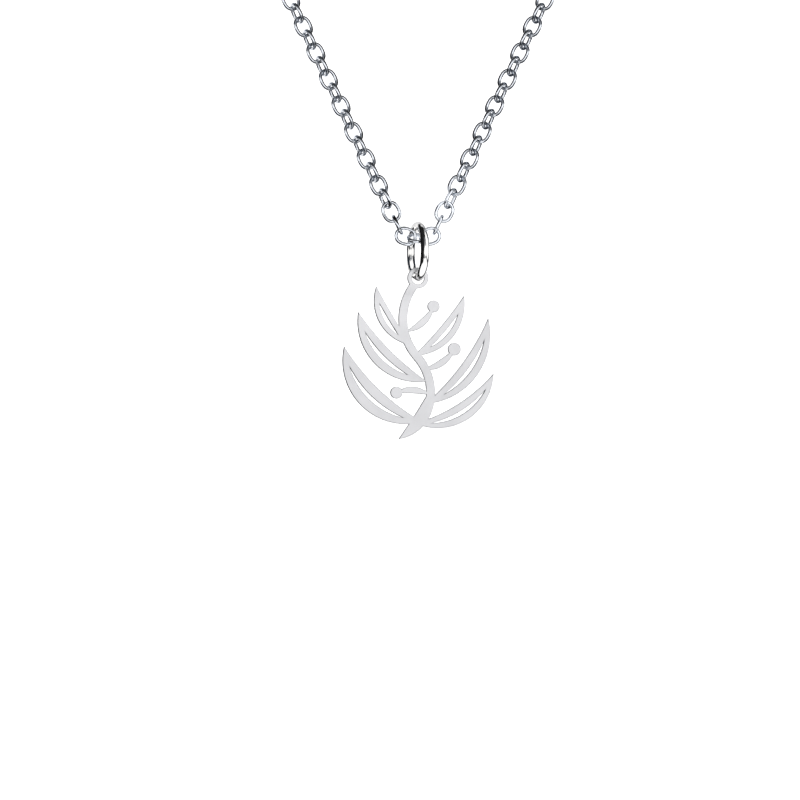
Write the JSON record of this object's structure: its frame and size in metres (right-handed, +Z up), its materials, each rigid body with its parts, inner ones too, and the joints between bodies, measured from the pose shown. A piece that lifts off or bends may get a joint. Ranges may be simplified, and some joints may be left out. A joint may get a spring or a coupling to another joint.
{
  "type": "pendant necklace",
  "caption": "Fine cable chain necklace in its worn form, with a jump ring, a flat pierced leaf spray pendant and a spring ring clasp at the back.",
  "frame": {"origin": "the back of the neck: the point on the chain's middle line, at the fastening, where the necklace hangs on a neck", "axes": "+Z up, +X to the right as seen from the front, -Y towards the front, where the pendant hangs"},
  "size_m": [0.1106, 0.0894, 0.1396],
  "materials": {
    "chain_silver": "polished",
    "polished_silver": "polished",
    "plate_silver": "satin"
  },
  "bodies": {
    "root": {"chain_left": "chain_silver", "chain_right": "chain_silver", "clasp": "polished_silver", "end_ring": "polished_silver"},
    "ring": {"jump_ring": "polished_silver"},
    "charm": {"pendant": "plate_silver"}
  },
  "joints": [
    {"name": "ring_swing", "type": "hinge", "parent": "root", "child": "ring", "pos_m": [0, -0.08369, -0.11153], "axis": [0.9613, 0.2756, 0], "range_deg": [-60, 60]},
    {"name": "pendant_swing", "type": "hinge", "parent": "ring", "child": "charm", "pos_m": [0, -0.08369, -0.11496], "axis": [-0.2756, 0.9613, 0], "range_deg": [-35, 35]}
  ]
}
